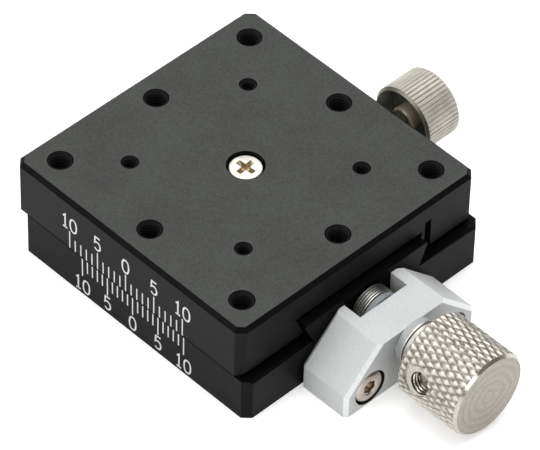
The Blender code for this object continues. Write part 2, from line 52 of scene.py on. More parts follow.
bracket_face = 0.0278
turn_steps = 48
fine_steps = 96
edge_angle = math.radians(32)
facing_x = Euler((0, math.radians(90), 0)).to_matrix().to_4x4()
facing_y = Euler((math.radians(-90), 0, 0)).to_matrix().to_4x4()
m3_pitch = 0.0005
# The slack of tests on faces, and how far tools and patterns reach past an end
slack = 0.00002
beyond = 0.001


# Node trees
class Tree:
    """A node tree whose nodes take their inputs in order, by value or by link."""

    def __init__(self, tree):
        self.tree = tree

    def add(self, kind, *values, **settings):
        node = self.tree.nodes.new(kind)
        for key, value in settings.items():
            setattr(node, key, value)
        for socket, value in zip([s for s in node.inputs if s.enabled], values):
            self.feed(socket, value)
        return node

    def feed(self, socket, value):
        if isinstance(value, bpy.types.NodeSocket):
            self.tree.links.new(value, socket)
        elif value is not None:
            socket.default_value = value

    def fill(self, node, **values):
        """The node with these of its inputs fed by name."""
        for label, value in values.items():
            self.feed(node.inputs[label.replace("_", " ")], value)
        return node

    def reckon(self, operation, *values, clamp=False):
        return self.add("ShaderNodeMath", *values, operation=operation, use_clamp=clamp).outputs[0]


class Shape(Tree):
    """A Geometry Nodes group with named inputs."""

    def __init__(self, name, **inputs):
        super().__init__(bpy.data.node_groups.new(name, "GeometryNodeTree"))
        face = self.tree.interface
        face.new_socket("Geometry", in_out="INPUT", socket_type="NodeSocketGeometry")
        for label, kind in inputs.items():
            face.new_socket(label.replace("_", " "), in_out="INPUT", socket_type="NodeSocket" + kind)
        face.new_socket("Material", in_out="INPUT", socket_type="NodeSocketMaterial")
        face.new_socket("Geometry", in_out="OUTPUT", socket_type="NodeSocketGeometry")
        self.entry = self.tree.nodes.new("NodeGroupInput").outputs

    def close(self, geometry):
        """Real geometry, in the tree's material."""
        real = self.add("GeometryNodeRealizeInstances", geometry)
        named = self.add("GeometryNodeSetMaterial", real.outputs[0], None, self.entry["Material"])
        self.add("NodeGroupOutput", named.outputs[0])
        return self.tree

    def polar(self):
        """Share of a turn, distance from the Z axis, and the position's three parts."""
        place = self.add("GeometryNodeInputPosition").outputs[0]
        x, y, z = self.add("ShaderNodeSeparateXYZ", place).outputs[:3]
        turn = self.reckon("DIVIDE", self.reckon("ARCTAN2", y, x), math.tau)
        square = self.reckon("ADD", self.reckon("MULTIPLY", x, x), self.reckon("MULTIPLY", y, y))
        return turn, self.reckon("SQRT", square), x, y, z

    def ridge(self, phase, land):
        """From 0 in the groove at each whole number to 1 on the land between two."""
        saw = self.reckon("FRACT", phase)
        fall = self.reckon("ABSOLUTE", self.reckon("MULTIPLY_ADD", saw, 2.0, -1.0))
        rise = self.reckon("SUBTRACT", 1.0, fall)
        return self.reckon("DIVIDE", rise, self.reckon("SUBTRACT", 1.0, land), clamp=True)

    def cut_to(self, height, inside=False):
        """Moves each point to the cut surface, where it stands beyond it."""
        _, reach, x, y, z = self.polar()
        drop = self.reckon("MULTIPLY", self.entry["Depth"], self.reckon("SUBTRACT", 1.0, height))
        if inside:
            target = self.reckon("MAXIMUM", reach, self.reckon("ADD", self.entry["Crest radius"], drop))
        else:
            target = self.reckon("MINIMUM", reach, self.reckon("SUBTRACT", self.entry["Crest radius"], drop))
        within = self.reckon(
            "MULTIPLY",
            self.reckon("GREATER_THAN", z, self.entry["Start"]),
            self.reckon("LESS_THAN", z, self.entry["End"]),
        )
        moved = self.reckon("MULTIPLY_ADD", within, self.reckon("SUBTRACT", target, reach), reach)
        share = self.reckon("DIVIDE", moved, self.reckon("MAXIMUM", reach, 1e-9))
        place = self.add(
            "ShaderNodeCombineXYZ", self.reckon("MULTIPLY", x, share), self.reckon("MULTIPLY", y, share), z
        )
        step = self.add("GeometryNodeSetPosition", self.entry["Geometry"])
        return self.fill(step, Position=place.outputs[0]).outputs[0]


cut_inputs = {"Crest_radius": "Float", "Depth": "Float", "Start": "Float", "End": "Float"}


def diamond_knurl():
    """Two crossing sets of grooves that leave small pyramids."""
    tree = Shape(
        "diamond_knurl", Count="Float", Lead="Float", Land="Float", Wander="Float", Wear="Float",
        Wander_length="Float", Wear_length="Float", **cut_inputs,
    )
    turn, _, _, _, z = tree.polar()
    place = tree.add("GeometryNodeInputPosition").outputs[0]
    wander, wear = (
        tree.add("ShaderNodeTexNoise", place, tree.reckon("DIVIDE", 1.0, tree.entry[length])).outputs[0]
        for length in ("Wander length", "Wear length")
    )
    drift = tree.reckon("MULTIPLY", tree.reckon("SUBTRACT", wander, 0.5), tree.entry["Wander"])
    round_phase = tree.reckon("MULTIPLY_ADD", turn, tree.entry["Count"], drift)
    along = tree.reckon("DIVIDE", z, tree.entry["Lead"])
    right = tree.ridge(tree.reckon("ADD", round_phase, along), tree.entry["Land"])
    left = tree.ridge(tree.reckon("SUBTRACT", round_phase, along), tree.entry["Land"])
    crest = tree.reckon("SUBTRACT", 1.0, tree.reckon("MULTIPLY", wear, tree.entry["Wear"]))
    return tree.close(tree.cut_to(tree.reckon("MINIMUM", tree.reckon("MINIMUM", right, left), crest)))


def straight_flutes():
    """Fine grooves along the axis."""
    tree = Shape("straight_flutes", Count="Float", Land="Float", **cut_inputs)
    phase = tree.reckon("MULTIPLY", tree.polar()[0], tree.entry["Count"])
    return tree.close(tree.cut_to(tree.ridge(phase, tree.entry["Land"])))


def screw_thread(inside):
    """One right-hand helical groove, on a rod or in a bore."""
    name = "bore_thread" if inside else "rod_thread"
    tree = Shape(name, Pitch="Float", Land="Float", **cut_inputs)
    turn, _, _, _, z = tree.polar()
    phase = tree.reckon("SUBTRACT", tree.reckon("DIVIDE", z, tree.entry["Pitch"]), turn)
    return tree.close(tree.cut_to(tree.ridge(phase, tree.entry["Land"]), inside))


def scale_lines():
    """A row of upright lines, every fifth one long."""
    tree = Shape(
        "scale_lines", Count="Int", Pitch="Float", Short_height="Float", Long_height="Float",
        Line_width="Float", Ink_height="Float", Down="Bool",
    )
    count, pitch = tree.entry["Count"], tree.entry["Pitch"]
    half = tree.reckon("MULTIPLY", tree.reckon("SUBTRACT", count, 1.0), 0.5)
    start = tree.reckon("MULTIPLY", tree.reckon("MULTIPLY", half, pitch), -1.0)
    first = tree.add("ShaderNodeCombineXYZ", start).outputs[0]
    step = tree.add("ShaderNodeCombineXYZ", pitch).outputs[0]
    row = tree.add("GeometryNodeMeshLine", mode="OFFSET", count_mode="TOTAL")
    tree.fill(row, Count=count, Start_Location=first, Offset=step)
    box = tree.add("GeometryNodeMeshCube").outputs[0]
    from_middle = tree.reckon("SUBTRACT", tree.add("GeometryNodeInputIndex").outputs[0], half)
    fifth = tree.reckon("LESS_THAN", tree.reckon("FLOORED_MODULO", from_middle, 5.0), 0.5)
    extra = tree.reckon("SUBTRACT", tree.entry["Long height"], tree.entry["Short height"])
    height = tree.reckon("MULTIPLY_ADD", fifth, extra, tree.entry["Short height"])
    size = tree.add("ShaderNodeCombineXYZ", tree.entry["Line width"], tree.entry["Ink height"], height)
    lines = tree.add("GeometryNodeInstanceOnPoints")
    tree.fill(lines, Points=row.outputs[0], Instance=box, Scale=size.outputs[0])
    way = tree.reckon("MULTIPLY_ADD", tree.entry["Down"], -1.0, 0.5)
    rise = tree.add("ShaderNodeCombineXYZ", 0.0, 0.0, tree.reckon("MULTIPLY", height, way))
    lift = tree.add("GeometryNodeTranslateInstances")
    tree.fill(lift, Instances=lines.outputs[0], Translation=rise.outputs[0], Local_Space=False)
    return tree.close(lift.outputs[0])


def copies_at_points():
    """The piece set at each point of the base mesh."""
    tree = Shape("copies_at_points", Piece="Object")
    piece = tree.add("GeometryNodeObjectInfo", tree.entry["Piece"])
    copies = tree.add("GeometryNodeInstanceOnPoints")
    tree.fill(copies, Points=tree.entry["Geometry"], Instance=piece.outputs["Geometry"])
    return tree.close(copies.outputs[0])


knurl_tree = diamond_knurl()
flute_tree = straight_flutes()
rod_tree = screw_thread(False)
bore_tree = screw_thread(True)
line_tree = scale_lines()
copy_tree = copies_at_points()


# Mesh tools
def rows(radius, start, end, step):
    """Points of a straight wall, close enough together to take a pattern."""
    count = max(1, round(abs(end - start) / step))
    return [(radius, start + (end - start) * i / count) for i in range(count + 1)]


def round_point(radius, turn):
    """The (x, y) at this radius and angle."""
    return radius * math.cos(turn), radius * math.sin(turn)


def turned(profile, steps=turn_steps):
    """The (radius, height) profile turned about Z. One that starts off the axis closes into a ring."""
    points, faces, rings = [], [], []
    for radius, height in profile:
        if radius > 0:
            rings.append([len(points) + i for i in range(steps)])
            points += [(*round_point(radius, math.tau * i / steps), height) for i in range(steps)]
        else:
            rings.append([len(points)])
            points.append((0, 0, height))
    pairs = list(zip(rings, rings[1:]))
    if profile[0][0] > 0:
        pairs.append((rings[-1], rings[0]))
    for low, high in pairs:
        for i in range(steps):
            j = (i + 1) % steps
            corners = [low[i % len(low)], low[j % len(low)], high[j % len(high)], high[i % len(high)]]
            faces.append(list(dict.fromkeys(corners)))
    mesh = bpy.data.meshes.new("turned")
    mesh.from_pydata(points, [], faces)
    return outward(mesh)


def rod(radius, low, high):
    return turned([(0, low), (radius, low), (radius, high), (0, high)])


def prism(outline, low, high, taper=1.0):
    """The (x, y) outline drawn from one height to another, smaller at the low end by the taper."""
    count = len(outline)
    points = [(x * taper, y * taper, low) for x, y in outline] + [(x, y, high) for x, y in outline]
    faces = [list(range(count)), list(range(count, 2 * count))]
    faces += [[i, (i + 1) % count, (i + 1) % count + count, i + count] for i in range(count)]
    mesh = bpy.data.meshes.new("prism")
    mesh.from_pydata(points, [], faces)
    return outward(mesh)


def outward(mesh):
    """The mesh with its faces turned outward and its doubled points joined."""
    shape = bmesh.new()
    shape.from_mesh(mesh)
    bmesh.ops.remove_doubles(shape, verts=shape.verts, dist=1e-7)
    bmesh.ops.recalc_face_normals(shape, faces=shape.faces)
    shape.to_mesh(mesh)
    shape.free()
    return mesh


def placed(name, data):
    """A new object in the scene, with this mesh, lamp or camera."""
    thing = bpy.data.objects.new(name, data)
    bpy.context.collection.objects.link(thing)
    return thing


def settled(thing):
    """The object's mesh with its modifiers in it."""
    bpy.context.view_layer.update()
    graph = bpy.context.evaluated_depsgraph_get()
    mesh = bpy.data.meshes.new_from_object(thing.evaluated_get(graph), depsgraph=graph)
    thing.modifiers.clear()
    return mesh


def grown(tree, base=None, material=None, **values):
    """What the Geometry Nodes tree makes of the base mesh, as a plain mesh."""
    carrier = placed("carrier", base or bpy.data.meshes.new("seed"))
    step = carrier.modifiers.new("shape", "NODES")
    step.node_group = tree
    sockets = {s.name: s.identifier for s in tree.interface.items_tree if s.in_out == "INPUT"}
    for label, value in values.items():
        step[sockets[label.replace("_", " ")]] = value
    step[sockets["Material"]] = material
    mesh = settled(carrier)
    bpy.data.objects.remove(carrier)
    return mesh


def solid_volume(mesh):
    """The mesh's volume, or nothing where it isn't closed."""
    shape = bmesh.new()
    shape.from_mesh(mesh)
    closed = all(len(edge.link_faces) == 2 for edge in shape.edges)
    volume = shape.calc_volume() if closed else 0
    shape.free()
    return volume


tool_growths = (0, 0.0004, 0.0009, 0.0016, 0.0025)


def carved(mesh, *tools, least=0.5):
    """The mesh without the volume of each tool, a mesh or a mesh with its place.

    A cut that opens the mesh, takes nothing, or leaves less than the least share of it
    is made again with tools a little larger.
    """
    whole = solid_volume(mesh)
    for growth in tool_growths:
        body = placed("carved", mesh.copy())
        helpers = []
        for tool in tools:
            solid, place = tool if isinstance(tool, tuple) else (tool, Matrix())
            helper = placed("tool", solid.copy())
            helper.data.transform(place @ Matrix.Scale(1 + growth, 4))
            helpers.append(helper)
            step = body.modifiers.new("cut", "BOOLEAN")
            step.operation = "DIFFERENCE"
            step.solver = "EXACT"
            step.object = helper
        result = settled(body)
        for thing in [body] + helpers:
            bpy.data.objects.remove(thing)
        if least * whole < solid_volume(result) < whole:
            break
    return result


def joined(*meshes):
    shape = bmesh.new()
    for mesh in meshes:
        shape.from_mesh(mesh)
    mesh = bpy.data.meshes.new("joined")
    shape.to_mesh(mesh)
    shape.free()
    return mesh


def piece(name, mesh, body, materials, place=Matrix(), replaces=(), choose=None):
    """A finished piece that rides on its body, with its place in its mesh."""
    mesh.transform(place)
    mesh.materials.clear()
    for material in materials if isinstance(materials, (list, tuple)) else [materials]:
        mesh.materials.append(material)
    for face in mesh.polygons:
        face.material_index = choose(face) if choose else 0
    mesh.shade_smooth()
    mesh.set_sharp_from_angle(angle=edge_angle)
    thing = placed(name, mesh)
    mesh.name = name
    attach(thing, body)
    if replaces:
        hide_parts(*replaces)
    return thing


def along(origin, turn=Matrix()):
    """The place at this origin, with this turn."""
    return Matrix.Translation(origin) @ turn


# Finishes
class Finish(Tree):
    """A material with its shader, and tools for its grain, colour and relief."""

    def __init__(self, name, colour, roughness, metallic=0.0, **sockets):
        self.material = bpy.data.materials.new(name)
        self.material.use_nodes = True
        super().__init__(self.material.node_tree)
        shader = self.tree.nodes["Principled BSDF"]
        self.fill(shader, Base_Color=(*colour, 1), Roughness=roughness, Metallic=metallic, **sockets)
        self.inputs = shader.inputs
        coordinates = self.add("ShaderNodeTexCoord").outputs
        self.place, self.facing = coordinates["Object"], coordinates["Normal"]
        self.relief = None

    def mapped(self, centre=(0, 0, 0), scale=(1, 1, 1)):
        """The place with this centre at zero, scaled along each axis."""
        node = self.add("ShaderNodeMapping", vector_type="POINT")
        shift = [-c * s for c, s in zip(centre, scale)]
        return self.fill(node, Vector=self.place, Location=shift, Scale=scale).outputs[0]

    def noise(self, grain, detail=3.0, where=None, rough=0.55):
        """Soft random grain with features about this many metres wide."""
        node = self.add("ShaderNodeTexNoise")
        self.fill(node, Vector=where or self.place, Scale=1 / grain, Detail=detail, Roughness=rough)
        return node.outputs["Fac"]

    def rings(self, spacing, direction, centre, distortion=0.0):
        """Turning marks round an axis."""
        node = self.add("ShaderNodeTexWave", wave_type="RINGS", rings_direction=direction)
        scale = math.tau / (20 * spacing)
        self.fill(node, Vector=self.mapped(centre), Scale=scale, Distortion=distortion, Detail=1.0)
        return node.outputs["Fac"]

    def ramp(self, value, *stops):
        """Colours or greys that follow the value through these (position, colour) stops."""
        node = self.add("ShaderNodeValToRGB", value)
        points = node.color_ramp.elements
        while len(points) < len(stops):
            points.new(0.5)
        for point, (position, colour) in zip(points, stops):
            point.position = position
            point.color = (*colour, 1) if isinstance(colour, tuple) else (colour, colour, colour, 1)
        return node.outputs[0]

    def span(self, value, low, high, start=0.3, end=0.7):
        """From low to high as the value goes from start to end."""
        return self.add("ShaderNodeMapRange", value, start, end, low, high).outputs[0]

    def mixed(self, share, first, second):
        node = self.add("ShaderNodeMix", data_type="RGBA")
        colours = [s for s in node.inputs if s.type == "RGBA"]
        self.feed(node.inputs[0], share)
        self.feed(colours[0], first)
        self.feed(colours[1], second)
        return [s for s in node.outputs if s.type == "RGBA"][0]

    def colour(self, value):
        self.feed(self.inputs["Base Color"], value)

    def rough(self, value):
        self.feed(self.inputs["Roughness"], value)

    def bump(self, value, depth):
        """Adds relief of this depth in metres."""
        node = self.add("ShaderNodeBump")
        self.fill(node, Strength=1.0, Distance=depth, Height=value, Normal=self.relief)
        self.relief = node.outputs[0]
        self.feed(self.inputs["Normal"], self.relief)


def black_anodised(name, painted_side_shade, painted_top_light, painted_edge_shade, roughness):
    """Dyed aluminium, with a painted shade each for its upright sides, its level faces and the chamfers
    between: painted light and painted shade.
    """
    finish = Finish(name, (painted_side_shade,) * 3, roughness, 0.0, Specular_IOR_Level=0.06)
    grain = finish.noise(0.00022, 3.0, rough=0.7)
    cloud = finish.noise(0.006, 3.0)
    lines = finish.noise(0.00025, 2.0, finish.mapped(scale=(0.05, 1, 1)))
    blend = finish.reckon("MULTIPLY_ADD", cloud, 0.25, finish.reckon("MULTIPLY", grain, 0.75))
    rise = finish.reckon("ABSOLUTE", finish.add("ShaderNodeSeparateXYZ", finish.facing).outputs[2])
    painted_top_light_share = finish.span(rise, 0.0, 1.0, 0.93, 0.99)
    broad = finish.reckon("MAXIMUM", finish.reckon("LESS_THAN", rise, 0.15), painted_top_light_share)

    def shaded(shade):
        dark = (shade * 0.77, shade * 0.80, shade * 0.76)
        pale = (shade * 1.17, shade * 1.24, shade * 1.16)
        return finish.ramp(blend, (0.38, dark), (0.62, pale))

    edge, side, top = shaded(painted_edge_shade), shaded(painted_side_shade), shaded(painted_top_light)
    # Painted light: level faces take the painted top light, chamfers the painted edge shade
    finish.colour(finish.mixed(painted_top_light_share, finish.mixed(broad, edge, side), top))
    finish.rough(finish.span(lines, roughness - 0.05, roughness + 0.07))
    finish.bump(grain, 0.0000035)
    finish.bump(lines, 0.000002)
    return finish.material


def clear_anodised(name):
    """Bead-blasted aluminium with a clear coat of oxide: silky, a little blue."""
    finish = Finish(name, (0.62, 0.64, 0.64), 0.55, 0.15, Specular_IOR_Level=0.3)
    grain = finish.noise(0.00018, 3.0, rough=0.7)
    cloud = finish.noise(0.004, 2.0)
    pits = finish.noise(0.00022, 1.0)
    blend = finish.reckon("MULTIPLY_ADD", cloud, 0.25, finish.reckon("MULTIPLY", grain, 0.75))
    finish.colour(finish.ramp(blend, (0.38, (0.505, 0.522, 0.52)), (0.62, (0.60, 0.615, 0.605))))
    finish.rough(finish.span(cloud, 0.52, 0.60))
    finish.bump(grain, 0.000007)
    finish.bump(finish.ramp(pits, (0.24, 0.0), (0.30, 1.0)), 0.000004)
    return finish.material


def shades(colour, *shares):
    """The colour made darker or paler by each share, up to white."""
    return [tuple(min(1, part * share) for part in colour) for share in shares]


def steel_finish(name, colour, roughness, spread=0.06, grain_depth=0.0000015, metallic=1.0):
    """Bare stainless steel with fine tool marks and slight staining."""
    finish = Finish(name, colour, roughness, metallic)
    cloud = finish.noise(0.0018, 3.0)
    grain = finish.noise(0.00006, 2.0)
    dark, pale = shades(colour, 0.86, 1.1)
    finish.tone = finish.ramp(cloud, (0.3, dark), (0.7, pale))
    finish.colour(finish.tone)
    finish.rough(finish.span(grain, roughness - spread, roughness + spread))
    finish.bump(grain, grain_depth)
    return finish


def warm_steel(name, *values, **settings):
    return steel_finish(name, *values, **settings).material


def turned_face(name, colour, roughness, direction, centre):
    """The faced end of a knob, with its rings of tool marks and a little staining."""
    finish = steel_finish(name, colour, roughness)
    fine, close, broad = (
        finish.rings(spacing, direction, centre, wander)
        for spacing, wander in ((0.00017, 0.5), (0.00031, 3.0), (0.00111, 5.0))
    )
    stain = finish.noise(0.00035, 4.0, rough=0.7)
    finish.bump(fine, 0.000006)
    finish.bump(broad, 0.000003)
    marks = finish.reckon("MULTIPLY_ADD", close, 0.17, finish.reckon("MULTIPLY", broad, 0.11))
    marks = finish.reckon("ADD", marks, finish.reckon("MULTIPLY", stain, 0.72))
    dark, pale = shades(colour, 0.645, 1.115)
    finish.colour(finish.ramp(marks, (0.30, dark), (0.70, pale)))
    finish.rough(finish.span(close, roughness - 0.05, roughness + 0.05, 0.0, 1.0))
    return finish.material


def steel_with_painted_groove_shade(name, valley_reach, crest_reach):
    """Steel with painted shade in the grooves, darker by its distance from the feed knob's axis."""
    finish = steel_finish(name, (0.56, 0.53, 0.478), 0.29, 0.12, 0.000005)
    across = finish.mapped((0, 0, feed_height), (0, 1, 1))
    reach = finish.add("ShaderNodeVectorMath", across, operation="LENGTH").outputs["Value"]
    crest = finish.span(reach, 0.0, 1.0, valley_reach, crest_reach)
    stain = finish.noise(0.0006, 2.0)
    # Painted shade in the knurl's grooves, broken up by noise
    painted_groove_shade = finish.ramp(stain, (0.35, (0.07, 0.063, 0.055)), (0.65, (0.27, 0.245, 0.21)))
    finish.colour(finish.mixed(crest, painted_groove_shade, finish.tone))
    finish.bump(finish.noise(0.00014, 2.0, rough=0.6), 0.000028)
    return finish.material


def speckled(name, colour, roughness, grain, dark, pale, metallic=0.0, relief=0):
    """One finish that wanders between a dark and a pale stop, with relief if it has any."""
    finish = Finish(name, colour, roughness, metallic)
    speckle = finish.noise(grain, 2.0)
    finish.colour(finish.ramp(speckle, dark, pale))
    if relief:
        finish.bump(speckle, relief)
    return finish.material


def bush_resin(name, colour):
    """Moulded bearing plastic."""
    dark, pale = shades(colour, 0.94, 1.06)
    return speckled(name, colour, 0.42, 0.0002, (0.35, dark), (0.65, pale), relief=0.000003)


# Painted light: the table's level top is much lighter than its sides, and its chamfers darker
table_black_painted_light = black_anodised("table_black_anodised", 0.0095, 0.060, 0.003, 0.44)
# Painted shade: the base is near black all over, darker than the table, for its place under the table
base_black_painted_shade = black_anodised("base_black_anodised", 0.003, 0.002, 0.002, 0.42)
thread_black = black_anodised("thread_black_anodised", 0.014, 0.014, 0.014, 0.32)
bracket_silver = clear_anodised("bracket_clear_anodised")
# Painted highlight: the bracket's front chamfers are near white
painted_highlight_silver = speckled(
    "bracket_bright_edge", (0.80, 0.81, 0.81), 0.34, 0.0003,
    (0.35, (0.70, 0.715, 0.715)), (0.65, (0.78, 0.79, 0.79)), metallic=0.3,
)
# Painted shadow: the walls and floor of the pockets round the bracket's screws are near black
pocket_painted_shadow_silver = warm_steel("pocket_shadow_silver", (0.06, 0.06, 0.058), 0.5)
knurl_steel = steel_with_painted_groove_shade("knurl_steel", 0.00565, 0.00579)
flute_steel = warm_steel("flute_steel", (0.51, 0.487, 0.441), 0.60, 0.03)
dish_steel = warm_steel("dish_steel", (0.33, 0.335, 0.30), 0.55, metallic=0.15)
hub_steel = warm_steel("hub_steel", (0.52, 0.455, 0.35), 0.30, metallic=0.4)
rim_steel = warm_steel("rim_steel", (0.30, 0.285, 0.245), 0.46)
stem_steel = warm_steel("stem_steel", (0.80, 0.78, 0.73), 0.20)
thread_steel = warm_steel("thread_steel", (0.40, 0.37, 0.33), 0.28)
screw_steel = warm_steel("screw_steel", (0.62, 0.585, 0.52), 0.34)
bright_screw_steel = warm_steel("bright_screw_steel", (0.80, 0.77, 0.71), 0.22)
# Painted highlight: the cross-recess screw's head is near white and rough, so it reads evenly bright
head_steel = warm_steel("head_steel", (0.88, 0.86, 0.79), 0.62)
bore_steel = warm_steel("bore_steel", (0.66, 0.62, 0.54), 0.20)
lobe_steel = warm_steel("lobe_recess_steel", (0.60, 0.54, 0.47), 0.12)
lobe_head_steel = warm_steel("lobe_head_steel", (0.47, 0.415, 0.365), 0.32)
recess_steel = warm_steel("recess_steel", (0.60, 0.53, 0.41), 0.30)
# Painted shade: near-black steel for the feed screw in its channel and for the grooves of the collar and the
# set screw's bore
greased_steel = warm_steel("greased_steel", (0.030, 0.028, 0.026), 0.36)
washer_steel = warm_steel("washer_steel", (0.50, 0.49, 0.47), 0.36)
collar_steel = warm_steel("collar_steel", (0.55, 0.54, 0.51), 0.28)
edge_steel = warm_steel("edge_steel", (0.46, 0.44, 0.40), 0.14, 0.03, 0.0000006)
boss_steel = warm_steel("boss_steel", (0.46, 0.445, 0.41), 0.36)
turned_end = turned_face("turned_end_steel", (0.345, 0.315, 0.275), 0.34, "X", (0, 0, feed_height))
inner_resin = bush_resin("inner_bush_resin", (0.20, 0.213, 0.228))
outer_resin = bush_resin("outer_bush_resin", (0.38, 0.40, 0.395))
brass = warm_steel("nut_brass", (0.72, 0.55, 0.28), 0.32)
ink = speckled(
    "scale_ink", (0.80, 0.81, 0.80), 0.55, 0.0001,
    (0.3, (0.58, 0.60, 0.60)), (0.6, (0.74, 0.76, 0.75)), relief=0.000002,
)

node_finishes = {
    "inner_bush": inner_resin,
    "outer_bush": outer_resin,
    "steel_washer": washer_steel,
    "stop_pin": screw_steel,
    "feed_nut": brass,
    "clamp_plug": brass,
}
for node, material in node_finishes.items():
    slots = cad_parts[node].data.materials
    slots.clear()
    slots.append(material)


# Plates and bracket
plate_edge = 0.00006
bracket_edge = 0.00013
pocket_reach = 0.00252
front_depth = 0.0008
flat_limits = ((0.4, 10.6), (3, 2))


def edge_broken(node, width):
    """The node's shape as flat faces, with each sharp edge rounded by this width."""
    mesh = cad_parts[node].data.copy()
    shape = bmesh.new()
    shape.from_mesh(mesh)
    bmesh.ops.remove_doubles(shape, verts=shape.verts, dist=2e-6)
    bmesh.ops.dissolve_limit(
        shape, angle_limit=math.radians(1), use_dissolve_boundaries=False,
        verts=shape.verts, edges=shape.edges,
    )
    bmesh.ops.recalc_face_normals(shape, faces=shape.faces)
    shape.to_mesh(mesh)
    shape.free()
    body = placed(node + "_edges", mesh)
    step = body.modifiers.new("edges", "BEVEL")
    step.width = width
    step.segments = 2
    step.limit_method = "ANGLE"
    step.angle_limit = math.radians(28)
    step.use_clamp_overlap = True
    mesh = settled(body)
    bpy.data.objects.remove(body)
    return mesh


def keep_flats(thing):
    """Large flat faces are shaded flat up to their edges.

    Each pair of limits is the least area in square millimetres and the least bend in degrees.
    """
    shape = bmesh.new()
    shape.from_mesh(thing.data)
    for edge in shape.edges:
        if len(edge.link_faces) == 2:
            area = max(face.calc_area() for face in edge.link_faces) * 1e6
            bend = math.degrees(edge.calc_face_angle(0))
            if any(area > least_area and bend > least_bend for least_area, least_bend in flat_limits):
                edge.smooth = False
    shape.to_mesh(thing.data)
    shape.free()


def pocket(face):
    """The pockets of the bracket's two screws, in a painted shadow, and the chamfers of its front, in a
    painted highlight.
    """
    for side in ("front", "back"):
        low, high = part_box("bracket_screw_" + side)
        middle = (low + high) / 2
        if math.hypot(face.center.y - middle.y, face.center.z - middle.z) < pocket_reach:
            return int(face.center.x < bracket_face - slack / 2)
    return 2 if 0.25 < face.normal.x < 0.95 and face.center.x > bracket_face - front_depth else 0


table_mesh = edge_broken("table_plate", plate_edge)
base_mesh = edge_broken("base_plate", plate_edge)
bracket_mesh = edge_broken("bracket", bracket_edge)
bracket_looks = [bracket_silver, pocket_painted_shadow_silver, painted_highlight_silver]
keep_flats(piece("milled_table", table_mesh, "table", table_black_painted_light, replaces=["table_plate"]))
keep_flats(piece("milled_base", base_mesh, "base", base_black_painted_shade, replaces=["base_plate"]))
keep_flats(piece("blasted_bracket", bracket_mesh, "base", bracket_looks, replaces=["bracket"], choose=pocket))


# Feed knob
knob_count = 38
knob_lead = 0.00209
knob_depth = 0.00022
knob_radius = 0.005875
knob_boss_radius = 0.00335
knob_bore_radius = 0.00195
knob_low, knob_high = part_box("feed_knob")
boss_start, knob_end = knob_low.x, knob_high.x
knob_start = boss_start + 0.0018
knob_bore_end = boss_start + 0.0080
knob_boss_edge = 0.0001
knob_rear_edge = 0.00014
knob_front_edge = 0.00046
end_ring_radius = 0.0030
boss_reach = knob_radius - 0.00040
rear_end = knob_start + 0.0002
knurl_steps = knob_count * 12
knob_profile = (
    [(0, knob_bore_end), (knob_bore_radius, knob_bore_end), (knob_bore_radius, boss_start)]
    + [(knob_boss_radius - knob_boss_edge, boss_start), (knob_boss_radius, boss_start + knob_boss_edge)]
    + [(knob_boss_radius, knob_start), (knob_radius - knob_rear_edge, knob_start)]
    + [(knob_radius - knob_rear_edge / 2, knob_start + knob_rear_edge / 2)]
    + rows(knob_radius, knob_start + knob_rear_edge, knob_end - knob_front_edge, knob_lead / 12)
    + [
        (knob_radius - knob_front_edge * share, knob_end - knob_front_edge * (1 - share))
        for share in (i / 8 for i in range(1, 9))
    ]
    + [(end_ring_radius, knob_end), (0, knob_end)]
)
set_screw_place = knob_start + 0.00325
set_screw_radius = 0.0015
set_screw_crest = 0.00128
set_screw_foot = 0.0020
set_screw_turn = Euler((math.radians(78), 0, 0)).to_matrix().to_4x4()
flat_radius = 0.0020
flat_offset = -0.0005
flat_level = knob_radius - 0.00045
set_screw_aim = along((set_screw_place, 0, feed_height), set_screw_turn)
flat_view = set_screw_aim.inverted()
knob_place = along((0, 0, feed_height), facing_x)
cut_top = knob_radius + beyond
set_screw_bore = rod(set_screw_radius, set_screw_foot, cut_top)
flat_cut = rod(flat_radius, flat_level, cut_top)
knob_blank = carved(
    turned(knob_profile, knurl_steps),
    (set_screw_bore, knob_place.inverted() @ set_screw_aim),
    (flat_cut, knob_place.inverted() @ Matrix.Translation((flat_offset, 0, 0)) @ set_screw_aim),
    least=0.9,
)
knob_mesh = grown(
    knurl_tree, knob_blank, knurl_steel,
    Count=float(knob_count), Lead=knob_lead, Land=0.15, Crest_radius=knob_radius, Depth=knob_depth,
    Wander=0.5, Wander_length=0.0011, Wear=0.30, Wear_length=0.0003,
    Start=knob_start, End=knob_end - knob_front_edge * 0.8,
)
knob_mesh.transform(knob_place)


def end_face(face):
    """The turned end, its edge, the boss and the flat round the set screw."""
    from_axis = math.hypot(face.center.y, face.center.z - feed_height)
    spot = flat_view @ face.center
    if spot.z > knob_radius / 2 and math.hypot(spot.x - flat_offset, spot.y) < flat_radius + slack / 2:
        return 3
    if face.normal.x > 0.9 and face.center.x > knob_end - 0.0001:
        return 1
    if face.center.x > knob_end - knob_front_edge + slack:
        return 2
    return 3 if from_axis < boss_reach or face.center.x < rear_end else 0


knob_looks = [knurl_steel, turned_end, edge_steel, boss_steel]
piece("knurled_feed_knob", knob_mesh, "feed", knob_looks, replaces=["feed_knob"], choose=end_face)


def bore_groove(face):
    """The grooves of the thread are near black, as painted shade."""
    spot = flat_view @ face.center
    return int(math.hypot(spot.x, spot.y) > set_screw_crest + 0.0001)


def threaded_bore(radius, crest, low, high, pitch, mouth, steps=turn_steps):
    """A thin sleeve that lines a bore with its thread and widens at its mouth."""
    wall = radius + 0.00005
    flare = high - mouth * 0.35
    profile = [(wall, low)] + rows(crest, low, high - mouth, pitch / 8) + [(radius, flare), (wall, flare)]
    return grown(
        bore_tree, turned(profile, steps), None, Pitch=pitch, Land=0.12, Crest_radius=crest,
        Depth=radius - crest - slack / 2, Start=low - beyond, End=high + beyond,
    )


